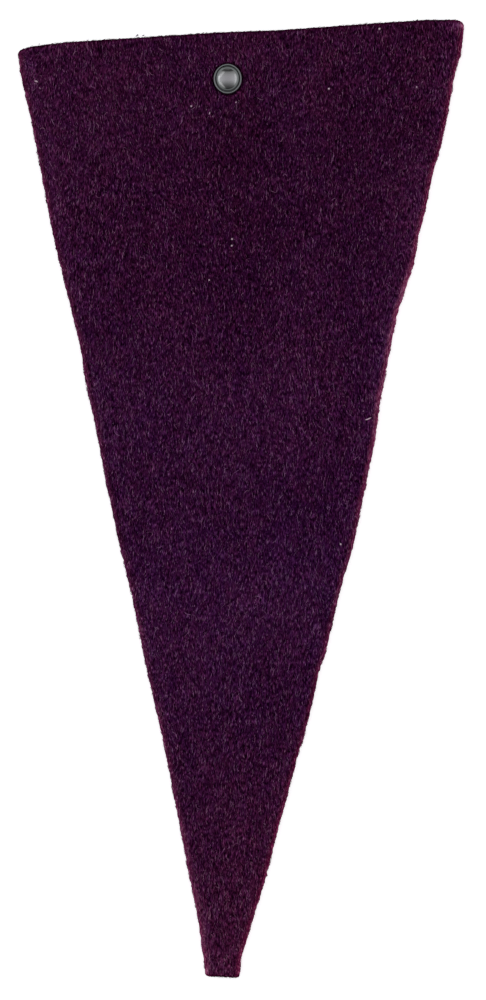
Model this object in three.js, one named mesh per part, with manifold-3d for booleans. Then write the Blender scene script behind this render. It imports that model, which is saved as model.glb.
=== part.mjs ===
// A long tapered pennant cut from one piece of thick wool felt, lying face up,
// with one domed metal stud set near the middle of its wide end.
// Millimetres, +Z up. The wide end points along +Y, and the origin is at the
// middle of the outline, on the surface that the pennant lies on.

import * as THREE from "three";
import { mergeVertices } from "three/addons/utils/BufferGeometryUtils.js";
import Module from "manifold-3d";

const wasm = await Module();
wasm.setup();

// Felt panel
const FELT_THICKNESS = 3.0;
const FACE_EDGE_RADIUS = 1.3;
const BACK_EDGE_RADIUS = 0.4;
const EDGE_INSETS = [0, 0.25, 0.65, FACE_EDGE_RADIUS, 2.6, 5.2];
const INNER_COLUMNS = 14;
const INNER_ROWS = 46;

// The long sides, as distances from the middle line at heights up the panel.
// They are scissor cuts, so each is nearly straight from one row to the next.
const SIDES = [
  { up: 202, left: -97.0, right: 94.2 },
  { up: 195, left: -95.6, right: 93.5 },
  { up: 186, left: -93.7, right: 92.1 },
  { up: 181, left: -92.9, right: 90.7 },
  { up: 157, left: -87.9, right: 85.6 },
  { up: 135, left: -83.9, right: 80.2 },
  { up: 112, left: -79.2, right: 74.8 },
  { up: 98, left: -75.9, right: 72.3 },
  { up: 76, left: -70.8, right: 65.4 },
  { up: 57, left: -66.5, right: 61.7 },
  { up: 20, left: -59.3, right: 55.4 },
  { up: -21, left: -50.6, right: 46.7 },
  { up: -43, left: -45.4, right: 41.0 },
  { up: -85, left: -36.3, right: 30.1 },
  { up: -107, left: -31.9, right: 24.3 },
  { up: -134, left: -26.7, right: 16.8 },
  { up: -161, left: -21.3, right: 9.8 },
  { up: -188, left: -16.2, right: 1.3 },
  { up: -202, left: -14.8, right: -1.1 },
];

// The two short ends, by the share of the width from the left side. Their
// first and last rows round the corners off.
const WIDE_END = [
  { share: 0, up: 186.9 },
  { share: 0.006, up: 188.6 },
  { share: 0.028, up: 189.9 },
  { share: 0.11, up: 191.8 },
  { share: 0.27, up: 193.7 },
  { share: 0.45, up: 195.9 },
  { share: 0.59, up: 196.9 },
  { share: 0.91, up: 201.2 },
  { share: 0.974, up: 201.3 },
  { share: 0.989, up: 200.9 },
  { share: 1, up: 198.8 },
];
const TIP_END = [
  { share: 0, up: -199.4 },
  { share: 0.06, up: -200.7 },
  { share: 0.5, up: -201.1 },
  { share: 0.94, up: -201.3 },
  { share: 1, up: -200.2 },
];

// Places where the felt is a little thicker. Its back lies flat throughout.
const SWELLS = [
  { across: 90, up: 190, reach: 80, height: 0.2 },
  { across: -70, up: 110, reach: 70, height: 0.15 },
  { across: -5, up: -170, reach: 75, height: 0.2 },
];

// Stud
const STUD_ACROSS = -5.6;
const STUD_UP = 176.3;
const GAP = 0.3;
const FLANGE_RADIUS = 4.6;
const FLANGE_THICKNESS = 0.5;
const FLANGE_BEVEL = 0.15;
const FLANGE_BASE = 0.15;
const FLANGE_TOP = FLANGE_BASE + FLANGE_THICKNESS;
const SHANK_RADIUS = 1.6;
const SHANK_HOLE_RADIUS = SHANK_RADIUS + GAP;
const PRESSED_BACK = FLANGE_TOP + GAP;
const PRESSED_FACE = 2.3;
const CAP_BASE = PRESSED_FACE + GAP;
const CAP_RADIUS = 6.15;
const RIM_TUBE_RADIUS = 0.42;
const GROOVE_RADIUS = 5.1;
const GROOVE_BOTTOM = CAP_BASE + 0.35;
const BRIM_OUTER_RADIUS = 4.9;
const BRIM_OUTER_TOP = CAP_BASE + 0.45;
const DOME_RADIUS = 4.1;
const DOME_START = CAP_BASE + 0.65;
const DOME_TOP = CAP_BASE + 1.75;
const SOCKET_TOP = CAP_BASE + 0.9;

// The hollow that the cap presses into the felt's face, out from the cap's
// edge and up from the pressed face, as shares of its width and depth.
const PRESS_WIDTH = 1.9;
const PRESS_SLOPE = [
  { out: 0.3, rise: 0.45 },
  { out: 0.6, rise: 0.85 },
  { out: 1, rise: 1 },
];
const BACK_PRESS_SLOPE = 0.7;

const ROUND_SEGMENTS = 48;
const CUT_SEGMENTS = 36;
const DOME_STEPS = 8;
const RIM_STEPS = 10;
const CUT_OVERRUN = 1;

const FELT_FINISH = new THREE.MeshStandardMaterial({
  color: 0x2d0f2a,
  roughness: 0.95,
  metalness: 0,
});
const METAL_FINISH = new THREE.MeshStandardMaterial({
  color: 0x77777b,
  roughness: 0.35,
  metalness: 1,
});

// Straight lines between a table's rows, read from one named column.
function readTable(table, key, at, column) {
  const rising = table[0][key] < table[table.length - 1][key];
  const rows = rising ? table : [...table].reverse();
  const next = Math.max(1, rows.findIndex((row) => row[key] >= at));
  const low = rows[next - 1];
  const high = rows[next];
  const share = (at - low[key]) / (high[key] - low[key]);
  return THREE.MathUtils.lerp(low[column], high[column], share);
}

// Distances across a span: close together at both edges, even between them.
function spacedSteps(span, inner) {
  const start = EDGE_INSETS.slice(0, -1);
  const first = EDGE_INSETS[EDGE_INSETS.length - 1];
  const last = span - first;
  const steps = [...start];
  for (let i = 0; i <= inner; i += 1) {
    steps.push(THREE.MathUtils.lerp(first, last, i / inner));
  }
  for (const inset of [...start].reverse()) {
    steps.push(span - inset);
  }
  return steps;
}

// How far a face with a rounded edge drops at a distance in from the cut.
function edgeDrop(inset, radius) {
  if (inset >= radius) {
    return 0;
  }
  const run = radius - inset;
  return radius - Math.sqrt(radius * radius - run * run);
}

function thicknessAt(across, up) {
  let thickness = FELT_THICKNESS;
  for (const place of SWELLS) {
    const away = Math.hypot(across - place.across, up - place.up);
    const share = Math.max(0, 1 - away / place.reach);
    thickness += place.height * share * share;
  }
  return thickness;
}

// The height up the panel, at a share of the width and of the length.
function upAt(share, alongShare) {
  const start = readTable(WIDE_END, "share", share, "up");
  const end = readTable(TIP_END, "share", share, "up");
  return THREE.MathUtils.lerp(start, end, alongShare);
}

// One row of points across the panel, for the face and for the back.
function panelRow(along, length) {
  const alongShare = along / length;
  const middleUp = upAt(0.5, alongShare);
  const left = readTable(SIDES, "up", middleUp, "left");
  const right = readTable(SIDES, "up", middleUp, "right");
  const width = right - left;
  const endInset = Math.min(along, length - along);
  const face = [];
  const back = [];
  for (const side of spacedSteps(width, INNER_COLUMNS)) {
    const share = side / width;
    const up = upAt(share, alongShare);
    const across = THREE.MathUtils.lerp(
      readTable(SIDES, "up", up, "left"),
      readTable(SIDES, "up", up, "right"),
      share,
    );
    const inset = Math.min(endInset, side, width - side);
    const top = thicknessAt(across, up) - edgeDrop(inset, FACE_EDGE_RADIUS);
    face.push([across, up, top]);
    back.push([across, up, edgeDrop(inset, BACK_EDGE_RADIUS)]);
  }
  return { face, back };
}

// One closed sheet: a grid for the face, a grid for the back and a wall
// of faces round the cut edge between them.
function panelGeometry() {
  const length = upAt(0.5, 0) - upAt(0.5, 1);
  const rows = spacedSteps(length, INNER_ROWS).map((along) => {
    return panelRow(along, length);
  });
  const columnCount = rows[0].face.length;
  const lastColumn = columnCount - 1;
  const lastRow = rows.length - 1;
  const backStart = rows.length * columnCount;
  const at = (row, column) => row * columnCount + column;

  const index = [];
  const rim = [];
  for (let row = 0; row < lastRow; row += 1) {
    for (let column = 0; column < lastColumn; column += 1) {
      const a = at(row, column);
      const b = at(row, column + 1);
      const c = at(row + 1, column + 1);
      const d = at(row + 1, column);
      index.push(a, c, b, a, d, c);
      for (const corner of [a, b, c, a, c, d]) {
        index.push(backStart + corner);
      }
    }
  }
  for (let column = 0; column < lastColumn; column += 1) {
    rim.push(at(0, column));
  }
  for (let row = 0; row < lastRow; row += 1) {
    rim.push(at(row, lastColumn));
  }
  for (let column = lastColumn; column > 0; column -= 1) {
    rim.push(at(lastRow, column));
  }
  for (let row = lastRow; row > 0; row -= 1) {
    rim.push(at(row, 0));
  }
  rim.forEach((here, i) => {
    const next = rim[(i + 1) % rim.length];
    index.push(here, next, backStart + next);
    index.push(here, backStart + next, backStart + here);
  });

  const face = rows.flatMap((row) => row.face);
  const back = rows.flatMap((row) => row.back);
  const points = [...face, ...back].flat();
  const geometry = new THREE.BufferGeometry();
  geometry.setAttribute("position", new THREE.Float32BufferAttribute(points, 3));
  geometry.setIndex(index);
  return geometry;
}

// A turned solid about +Z, from (radius, height) pairs listed from the
// bottom up the outside.
function turned(profile, segments) {
  const points = profile.map(([radius, height]) => {
    return new THREE.Vector2(radius, height);
  });
  return new THREE.LatheGeometry(points, segments).rotateX(Math.PI / 2);
}

// Points on an arc of a profile, with angles in degrees from straight out.
function arcPoints(centreRadius, centreHeight, radius, from, to, steps) {
  const points = [];
  for (let i = 0; i <= steps; i += 1) {
    const degrees = THREE.MathUtils.lerp(from, to, i / steps);
    const angle = THREE.MathUtils.degToRad(degrees);
    points.push([
      centreRadius + radius * Math.cos(angle),
      centreHeight + radius * Math.sin(angle),
    ]);
  }
  return points;
}

// The outside of the dome, from its foot up to the middle.
function domePoints() {
  const rise = DOME_TOP - DOME_START;
  const sphere = (DOME_RADIUS * DOME_RADIUS + rise * rise) / (2 * rise);
  const points = [];
  for (let i = 0; i <= DOME_STEPS; i += 1) {
    const radius = DOME_RADIUS * (1 - i / DOME_STEPS);
    const height = Math.sqrt(sphere * sphere - radius * radius);
    points.push([radius, DOME_TOP - sphere + height]);
  }
  return points;
}

function asSolid(geometry) {
  const bare = geometry.clone();
  bare.deleteAttribute("normal");
  bare.deleteAttribute("uv");
  const merged = mergeVertices(bare);
  return new wasm.Manifold(
    new wasm.Mesh({
      numProp: 3,
      vertProperties: merged.attributes.position.array,
      triVerts: merged.index.array,
    }),
  );
}

function asGeometry(solid) {
  const mesh = solid.getMesh();
  const geometry = new THREE.BufferGeometry();
  geometry.setAttribute(
    "position",
    new THREE.BufferAttribute(mesh.vertProperties, mesh.numProp),
  );
  geometry.setIndex(new THREE.BufferAttribute(mesh.triVerts, 1));
  const shaded = geometry.toNonIndexed();
  shaded.computeVertexNormals();
  return shaded;
}

function cutterAtStud(profile) {
  const cutter = turned(profile, CUT_SEGMENTS);
  return asSolid(cutter.translate(STUD_ACROSS, STUD_UP, 0));
}

function facePress() {
  const depth = FELT_THICKNESS - PRESSED_FACE;
  const above = FELT_THICKNESS + CUT_OVERRUN;
  const slope = PRESS_SLOPE.map(({ out, rise }) => {
    return [CAP_RADIUS + out * PRESS_WIDTH, PRESSED_FACE + rise * depth];
  });
  return cutterAtStud([
    [0, PRESSED_FACE],
    [CAP_RADIUS + GAP, PRESSED_FACE],
    ...slope,
    [CAP_RADIUS + PRESS_WIDTH, above],
    [0, above],
  ]);
}

// The shallow hollow in the felt's back that takes the flange.
function backPress() {
  const inner = FLANGE_RADIUS + GAP;
  const outer = inner + BACK_PRESS_SLOPE;
  return cutterAtStud([
    [0, -CUT_OVERRUN],
    [outer, -CUT_OVERRUN],
    [outer, 0],
    [inner, PRESSED_BACK],
    [0, PRESSED_BACK],
  ]);
}

function shankHole() {
  const above = FELT_THICKNESS + CUT_OVERRUN;
  return cutterAtStud([
    [0, -CUT_OVERRUN],
    [SHANK_HOLE_RADIUS, -CUT_OVERRUN],
    [SHANK_HOLE_RADIUS, above],
    [0, above],
  ]);
}

function feltPanel() {
  const cut = asSolid(panelGeometry())
    .subtract(facePress())
    .subtract(backPress())
    .subtract(shankHole());
  const mesh = new THREE.Mesh(asGeometry(cut), FELT_FINISH);
  mesh.name = "felt_panel";
  return mesh;
}

// A low dome on a narrow brim, inside a groove and a rolled rim, with a
// socket under it for the post.
function studCap() {
  const rimRadius = CAP_RADIUS - RIM_TUBE_RADIUS;
  const rimHeight = CAP_BASE + RIM_TUBE_RADIUS;
  const profile = [
    [0, SOCKET_TOP],
    [SHANK_HOLE_RADIUS, SOCKET_TOP],
    [SHANK_HOLE_RADIUS, CAP_BASE],
    ...arcPoints(rimRadius, rimHeight, RIM_TUBE_RADIUS, -90, 150, RIM_STEPS),
    [GROOVE_RADIUS, GROOVE_BOTTOM],
    [BRIM_OUTER_RADIUS, BRIM_OUTER_TOP],
    ...domePoints(),
  ];
  const mesh = new THREE.Mesh(turned(profile, ROUND_SEGMENTS), METAL_FINISH);
  mesh.name = "stud_cap";
  return mesh;
}

// A flat flange just inside the felt's back, with a shank up into the cap's
// socket.
function studPost() {
  const shankTop = SOCKET_TOP - GAP;
  const profile = [
    [0, FLANGE_BASE],
    [FLANGE_RADIUS - FLANGE_BEVEL, FLANGE_BASE],
    [FLANGE_RADIUS, FLANGE_BASE + FLANGE_BEVEL],
    [FLANGE_RADIUS, FLANGE_TOP],
    [SHANK_RADIUS, FLANGE_TOP],
    [SHANK_RADIUS, shankTop],
    [0, shankTop],
  ];
  const mesh = new THREE.Mesh(turned(profile, ROUND_SEGMENTS), METAL_FINISH);
  mesh.name = "stud_post";
  return mesh;
}

const stud = new THREE.Group();
stud.position.set(STUD_ACROSS, STUD_UP, 0);
stud.add(studCap(), studPost());

const pennant = new THREE.Group();
pennant.add(feltPanel(), stud);

export default pennant;
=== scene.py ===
import math

import bpy
import numpy as np
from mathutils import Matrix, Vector


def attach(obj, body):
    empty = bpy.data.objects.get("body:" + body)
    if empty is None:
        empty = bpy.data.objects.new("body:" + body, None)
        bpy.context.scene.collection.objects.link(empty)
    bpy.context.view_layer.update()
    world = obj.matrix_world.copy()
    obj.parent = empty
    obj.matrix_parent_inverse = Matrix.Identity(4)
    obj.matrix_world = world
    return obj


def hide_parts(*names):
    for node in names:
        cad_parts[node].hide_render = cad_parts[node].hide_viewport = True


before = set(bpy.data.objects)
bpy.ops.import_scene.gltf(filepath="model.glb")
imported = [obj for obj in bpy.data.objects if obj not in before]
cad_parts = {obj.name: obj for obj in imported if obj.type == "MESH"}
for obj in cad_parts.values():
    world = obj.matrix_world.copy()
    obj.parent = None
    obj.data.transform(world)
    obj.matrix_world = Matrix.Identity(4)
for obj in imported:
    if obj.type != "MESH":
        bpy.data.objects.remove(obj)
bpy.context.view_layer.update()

# All lengths are in millimetres until they reach a mesh or a light
MM = 0.001

# The cut panel, with +Y from the tip towards the wide end
LEFT_SIDE = [
    (203.0, -97.2),
    (187.3, -93.8),
    (179.4, -92.8),
    (157.1, -87.7),
    (112.2, -79.3),
    (61.8, -67.1),
    (49.6, -65.4),
    (27.3, -60.5),
    (9.7, -57.3),
    (-21.4, -50.6),
    (-42.0, -45.5),
    (-68.0, -40.5),
    (-99.5, -33.1),
    (-178.9, -17.7),
    (-203.0, -14.4),
]
RIGHT_SIDE = [
    (203.0, 94.3),
    (186.1, 92.3),
    (182.3, 90.7),
    (147.9, 84.0),
    (135.3, 80.1),
    (120.6, 77.3),
    (111.7, 74.7),
    (98.7, 72.6),
    (76.0, 65.2),
    (58.4, 61.8),
    (41.6, 58.7),
    (20.6, 55.5),
    (-20.6, 47.0),
    (-36.5, 42.1),
    (-45.3, 40.0),
    (-66.3, 35.1),
    (-73.1, 32.7),
    (-92.8, 28.4),
    (-107.1, 24.2),
    (-133.5, 16.9),
    (-160.4, 10.1),
    (-188.1, 1.4),
    (-191.9, 0.3),
    (-196.1, -0.4),
    (-203.0, -0.6),
]
WIDE_END = [
    (0.0, 186.9),
    (0.006, 188.6),
    (0.028, 189.9),
    (0.11, 191.8),
    (0.27, 193.7),
    (0.45, 195.9),
    (0.59, 196.9),
    (0.91, 201.2),
    (0.974, 201.3),
    (0.989, 200.9),
    (0.996, 200.2),
    (1.0, 199.0),
]
TIP_END = [
    (0.0, -199.9),
    (0.03, -200.6),
    (0.06, -200.8),
    (0.5, -201.1),
    (0.94, -201.4),
    (0.98, -201.1),
    (1.0, -200.4),
]
# The cosine of the angle that the long sides stand at
SIDE_SLOPE = 0.975

# Ripples in the two long cuts, as height, cell across, cell up and seed
LEFT_RIPPLES = [
    (0.17, 1.0, 1.5, 21),
    (0.07, 1.0, 5.0, 22),
]
RIGHT_RIPPLES = [
    (0.2, 1.0, 1.6, 23),
    (0.12, 1.0, 6.0, 24),
]

# The felt's thickness, its rounded edges and how far in its points stand there
FELT_THICKNESS = 3.0
FACE_EDGE_RADIUS = 1.3
BACK_EDGE_RADIUS = 0.4
EDGE_INSETS = [0.0, 0.15, 0.4, 0.8, 1.3, 2.1, 3.2]

# Swells in the face, as across, up, reach and rise
SWELLS = [
    (90.0, 190.0, 80.0, 0.2),
    (-70.0, 110.0, 70.0, 0.15),
    (-5.0, -170.0, 75.0, 0.2),
]

# Waves in the face, as height, cell across, cell up and seed
FACE_WAVES = [
    (0.1, 26.0, 34.0, 31),
    (0.08, 4.2, 6.5, 32),
    (0.05, 1.9, 3.4, 33),
]
BACK_WAVES = [(0.05, 5.0, 5.0, 41)]
FACE_SINK = 0.06
BACK_LIFT = 0.2

# The stud and the hollows that it presses into the felt
STUD_ACROSS = -5.6
STUD_UP = 176.3
CAP_RADIUS = 6.15
CAP_BASE = 2.6
PRESSED_FACE = 2.3
PRESSED_BACK = 0.95
PRESS_WIDTH = 1.9
FLANGE_RADIUS = 4.6
FLANGE_BASE = 0.15
SHANK_RADIUS = 1.6
HOLE_RADIUS = 1.9

# The cap is a little longer than it is wide
OVAL = (0.965, 1.028, 1.0)

# The noise repeats after this many cells, and starts well inside them
NOISE_CELLS = 521
NOISE_START = 4000.0


def table_at(table, where):
    """Straight lines between a table's rows of (where, value)."""
    rows = np.array(sorted(table))
    return np.interp(where, rows[:, 0], rows[:, 1])


def smooth_step(value, low, high):
    """0 below low, 1 above high and a soft step between them."""
    share = np.clip((value - low) / (high - low), 0.0, 1.0)
    return share * share * (3.0 - 2.0 * share)


def soft_noise(across, up, cell_across, cell_up, seed):
    """Smooth noise from -1 to 1 with cells of that size."""
    grid = np.random.default_rng(seed).uniform(-1.0, 1.0, (NOISE_CELLS, NOISE_CELLS))
    column = np.asarray(across) / cell_across + NOISE_START
    row = np.asarray(up) / cell_up + NOISE_START
    left = np.floor(column).astype(int)
    low = np.floor(row).astype(int)
    blend_across = smooth_step(column - left, 0.0, 1.0)
    blend_up = smooth_step(row - low, 0.0, 1.0)

    def corner(step_across, step_up):
        columns = (left + step_across) % NOISE_CELLS
        return grid[columns, (low + step_up) % NOISE_CELLS]

    bottom = corner(0, 0) * (1 - blend_across) + corner(1, 0) * blend_across
    top = corner(0, 1) * (1 - blend_across) + corner(1, 1) * blend_across
    return bottom * (1 - blend_up) + top * blend_up


def add_waves(value, across, up, waves):
    """Adds noise to a value, from rows of strength, cell across, cell up and seed."""
    for strength, cell_across, cell_up, seed in waves:
        value = value + strength * soft_noise(across, up, cell_across, cell_up, seed)
    return value


def left_at(up):
    return table_at(LEFT_SIDE, up) + add_waves(0.0, 0.0 * up, up, LEFT_RIPPLES)


def right_at(up):
    return table_at(RIGHT_SIDE, up) + add_waves(0.0, 0.0 * up, up, RIGHT_RIPPLES)


def panel_point(share, along):
    """Across and up, at shares of the width and of the length from the wide end."""
    start = table_at(WIDE_END, share)
    end = table_at(TIP_END, share)
    up = start + (end - start) * along
    left = left_at(up)
    return left + (right_at(up) - left) * share, up


def insets_at(across, up):
    """Distances in from the nearer long side and from the nearer end."""
    left = left_at(up)
    right = right_at(up)
    share = np.clip((across - left) / (right - left), 0.0, 1.0)
    side = np.minimum(across - left, right - across) * SIDE_SLOPE
    end = np.minimum(table_at(WIDE_END, share) - up, up - table_at(TIP_END, share))
    return side, end


def inset_at(across, up):
    """How far in from the cut outline a place is."""
    side, end = insets_at(across, up)
    return np.clip(np.minimum(side, end), 0.0, None)


def edge_drop(inset, radius):
    """How much lower a rounded edge is there than the face."""
    run = np.clip(radius - inset, 0.0, radius)
    return radius - np.sqrt(radius * radius - run * run)


def away_from_shank(across, up):
    return np.hypot(across - STUD_ACROSS, up - STUD_UP)


def away_from_stud(across, up):
    """The distance from the stud's middle, measured by the cap's oval."""
    return np.hypot((across - STUD_ACROSS) / OVAL[0], (up - STUD_UP) / OVAL[1])


def face_height(across, up, inset):
    """The height of the felt's face above the surface that it lies on."""
    height = FELT_THICKNESS - FACE_SINK + 0.0 * across
    for place_across, place_up, reach, rise in SWELLS:
        away = np.hypot(across - place_across, up - place_up)
        height += rise * np.clip(1.0 - away / reach, 0.0, 1.0) ** 2
    height = add_waves(height, across, up, FACE_WAVES)
    height -= edge_drop(inset, FACE_EDGE_RADIUS)
    away = away_from_stud(across, up)
    pressed = 1.0 - smooth_step(away, CAP_RADIUS + 0.1, CAP_RADIUS + PRESS_WIDTH)
    return height + (PRESSED_FACE - height) * pressed


def back_height(across, up, inset):
    """The height of the felt's back, with the hollow that the flange presses in."""
    height = add_waves(BACK_LIFT, across, up, BACK_WAVES)
    height = height + edge_drop(inset, BACK_EDGE_RADIUS)
    away = away_from_shank(across, up)
    pressed = 1.0 - smooth_step(away, FLANGE_RADIUS + 0.3, FLANGE_RADIUS + 1.1)
    return height + (PRESSED_BACK - height) * pressed


# The gaps beside a tuft, by how far aside and how dark they are
GAP_ASIDE = 0.72
GAP_SHARE = 0.33


def streak_at(across, up):
    """Tufts of the nap, under half a millimetre wide, with a dark gap on both sides."""
    sway = 0.9 * soft_noise(across, up, 4.0, 6.0, 54)

    def tuft(aside):
        long_tufts = soft_noise(across + sway + aside, up, 0.25, 2.0, 55)
        return long_tufts + soft_noise(across + 1.6 * sway + aside, up, 0.24, 0.8, 56)

    return tuft(0.0) - GAP_SHARE * (tuft(-GAP_ASIDE) + tuft(GAP_ASIDE))


# The painted light on the rounded shoulders beside the long cuts, where the side softboxes light
# them, as rows of up and how light or how wide it is
LEFT_GLOW = [
    (-190.0, 0.26),
    (-150.0, 0.22),
    (-115.0, 0.17),
    (-52.0, 0.11),
    (10.0, 0.13),
    (73.0, 0.15),
    (150.0, 0.11),
]
RIGHT_GLOW = [
    (-190.0, 0.24),
    (-150.0, 0.17),
    (-115.0, 0.14),
    (-52.0, 0.15),
    (10.0, 0.3),
    (50.0, 0.35),
    (90.0, 0.35),
    (120.0, 0.24),
    (150.0, 0.22),
    (190.0, 0.28),
]
LEFT_GLOW_WIDTH = [
    (-190.0, 3.4),
    (-115.0, 1.9),
    (200.0, 1.8),
]
RIGHT_GLOW_WIDTH = [
    (-115.0, 1.9),
    (10.0, 2.2),
    (50.0, 2.9),
    (90.0, 2.9),
    (120.0, 1.9),
    (190.0, 1.9),
]

# The wool's tone and warmth along the panel, as rows of up and value
TONE_ROWS = [
    (-202.0, 0.038),
    (-180.0, 0.022),
    (-150.0, -0.01),
    (-100.0, -0.008),
    (-60.0, 0.006),
    (-20.0, -0.008),
    (24.0, 0.0),
    (60.0, -0.026),
    (120.0, -0.035),
    (202.0, -0.04),
]
WARM_ROWS = [
    (-202.0, 1.0),
    (-150.0, 0.75),
    (-85.0, 0.3),
    (-26.0, 0.2),
    (60.0, 0.4),
    (120.0, 0.52),
    (202.0, 0.66),
]

# Uneven patches in the tone and in the warmth, from broad to fine
TONE_WAVES = [
    (0.03, 24.0, 40.0, 51),
    (0.022, 6.0, 9.0, 52),
    (0.02, 2.0, 3.6, 53),
]
WARMTH_WAVES = [
    (0.1, 18.0, 30.0, 61),
    (0.28, 1.5, 2.8, 62),
]

# How much redder the wool is along the cuts: at the long cuts with their painted light band, at
# the ends with their painted shade
LEFT_CUT_WARMTH = 0.75
RIGHT_CUT_WARMTH = 1.3
END_CUT_WARMTH = 0.6


def left_half(across, up):
    """Whether a place is nearer to the left side, by the panel's slanted middle."""
    return across < 0.02 * up - 4.0


def spot(across, up, place, spread):
    """A round patch that is 1 at its middle and fades around it."""
    return np.exp(-((across - place[0]) ** 2 + (up - place[1]) ** 2) / spread)


def cut_painted_light(across, up, side):
    """How much painted light lies in a narrow band beside the two long cuts, on their rounded
    shoulders.
    """
    on_left = left_half(across, up)
    # Painted light: the cut shoulders that face the side softboxes are drawn lighter
    glow = np.where(on_left, table_at(LEFT_GLOW, up), table_at(RIGHT_GLOW, up))
    width = np.where(on_left, table_at(LEFT_GLOW_WIDTH, up), table_at(RIGHT_GLOW_WIDTH, up))
    side = side + 0.3 * soft_noise(across, up, 1.4, 2.6, 81)
    return glow * (1.0 - smooth_step(side, 0.3 * width, width))


def corner_glow(across, up):
    """The lighter wool of the upper right corner."""
    return 0.3 * spot(across, up, (91.6, 198.9), 4.5)


def tone_at(across, up):
    """How light the wool's colour is, as a shift from its mean, with painted light along the long
    cuts and painted shade at the ends and around the cap.
    """
    side, end = insets_at(across, up)
    below_stud = np.exp(-((across / 55.0) ** 2) - ((up - 119.0) / 45.0) ** 2)
    upper_flank = (1.0 - smooth_step(side, 1.0, 11.0)) * smooth_step(up, 10.0, 30.0)
    lower_flank = (1.0 - smooth_step(side, 1.0, 9.0)) * smooth_step(-up, 0.0, 60.0)
    # Painted shade along the two end cuts, which get little of the side softboxes' light
    end_cut = 1.0 - smooth_step(end, 0.5, 1.3)
    pit = spot(across, up, (-12.7, 157.8), 1.4)
    away = away_from_stud(across, up)
    # Painted shadow in the crease around the cap and under its rim
    painted_cap_shadow = 1.0 - smooth_step(away, CAP_RADIUS, CAP_RADIUS + 0.9)

    tone = add_waves(table_at(TONE_ROWS, up), across, up, TONE_WAVES)
    tone += 0.05 * upper_flank + 0.04 * lower_flank
    tone += cut_painted_light(across, up, side) + corner_glow(across, up)
    tone -= 0.035 * below_stud + 0.2 * end_cut + 0.18 * pit + 0.7 * painted_cap_shadow
    return tone


def warmth_at(across, up):
    """How red the wool is, from 0 for violet to 1 for plum and 2 along the cuts, redder with
    their painted light and shade.
    """
    warmth = add_waves(table_at(WARM_ROWS, up), across, up, WARMTH_WAVES)
    warmth = np.clip(warmth, 0.0, 1.1)
    side, end = insets_at(across, up)
    cut_redness = np.where(left_half(across, up), LEFT_CUT_WARMTH, RIGHT_CUT_WARMTH)
    warmth += cut_redness * (1.0 - smooth_step(side, 0.5, 2.8))
    warmth += END_CUT_WARMTH * (1.0 - smooth_step(end, 0.5, 1.5))
    return warmth


def mesh_piece(name, points, faces, bake_places, material):
    """A mesh from points in millimetres, riding on the one body."""
    mesh = bpy.data.meshes.new(name)
    mesh.from_pydata(points * MM, [], faces)
    mesh.update()
    layer = mesh.uv_layers.new(name="OFBake")
    layer.uv.foreach_set("vector", bake_places.astype(np.float32).ravel())
    piece = bpy.data.objects.new(name, mesh)
    bpy.context.scene.collection.objects.link(piece)
    mesh.materials.append(material)
    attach(piece, "root")
    return piece


def paint(piece, name, values):
    """Keeps one number for each point of a piece's mesh."""
    layer = piece.data.attributes.new(name, "FLOAT", "POINT")
    layer.data.foreach_set("value", values.astype(np.float32))


def linear(red, green, blue):
    """A colour as seen on a screen, made linear for a shader."""
    parts = [part / 255.0 for part in (red, green, blue)]
    return [
        part / 12.92 if part <= 0.04045 else ((part + 0.055) / 1.055) ** 2.4
        for part in parts
    ] + [1.0]


def add(tree, kind, values=None, **settings):
    """A node with its settings made and its inputs set or linked."""
    node = tree.nodes.new(kind)
    for name, value in settings.items():
        setattr(node, name, value)
    for name, value in (values or {}).items():
        if isinstance(value, bpy.types.NodeSocket):
            tree.links.new(value, node.inputs[name])
        else:
            node.inputs[name].default_value = value
    return node


# The colour sockets of a mix node, which share their names with its other sockets
MIX_FIRST = 6
MIX_SECOND = 7
MIX_RESULT = 2


def combine(tree, operation, first, second):
    """The result of a sum on two numbers or sockets."""
    values = {0: first, 1: second}
    return add(tree, "ShaderNodeMath", values, operation=operation).outputs[0]


def noise(tree, place, scale, detail, output="Fac"):
    values = {"Vector": place, "Scale": scale, "Detail": detail}
    return add(tree, "ShaderNodeTexNoise", values).outputs[output]


def map_range(tree, value, lowest, highest, first=0.0, last=1.0):
    """A value's range from lowest to highest, moved to first to last."""
    values = {
        "Value": value,
        "From Min": lowest,
        "From Max": highest,
        "To Min": first,
        "To Max": last,
    }
    return add(tree, "ShaderNodeMapRange", values).outputs[0]


def mix_colours(tree, factor, first, second):
    """The first colour where the factor is 0, and the second where it is 1."""
    values = {"Factor": factor, MIX_FIRST: first, MIX_SECOND: second}
    return add(tree, "ShaderNodeMix", values, data_type="RGBA").outputs[MIX_RESULT]


def add_bump(tree, shader, height, strength, distance):
    values = {"Height": height, "Strength": strength, "Distance": distance}
    bump = add(tree, "ShaderNodeBump", values)
    tree.links.new(bump.outputs[0], shader.inputs["Normal"])


def new_group(name, inputs, outputs):
    """An empty node group, with its input and output nodes."""
    group = bpy.data.node_groups.new(name, "ShaderNodeTree")
    for socket in inputs:
        group.interface.new_socket(socket, in_out="INPUT", socket_type="NodeSocketFloat")
    for socket, kind in outputs.items():
        group.interface.new_socket(socket, in_out="OUTPUT", socket_type=kind)
    return group, group.nodes.new("NodeGroupInput"), group.nodes.new("NodeGroupOutput")


def ramp(tree, factor, stops):
    """A row of colours, with screen colours at the stops."""
    node = add(tree, "ShaderNodeValToRGB", {"Fac": factor})
    while len(node.color_ramp.elements) < len(stops):
        node.color_ramp.elements.new(0.5)
    for element, (place, colour) in zip(node.color_ramp.elements, stops):
        element.position = place
        element.color = linear(*colour)
    return node.outputs["Color"]


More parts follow.
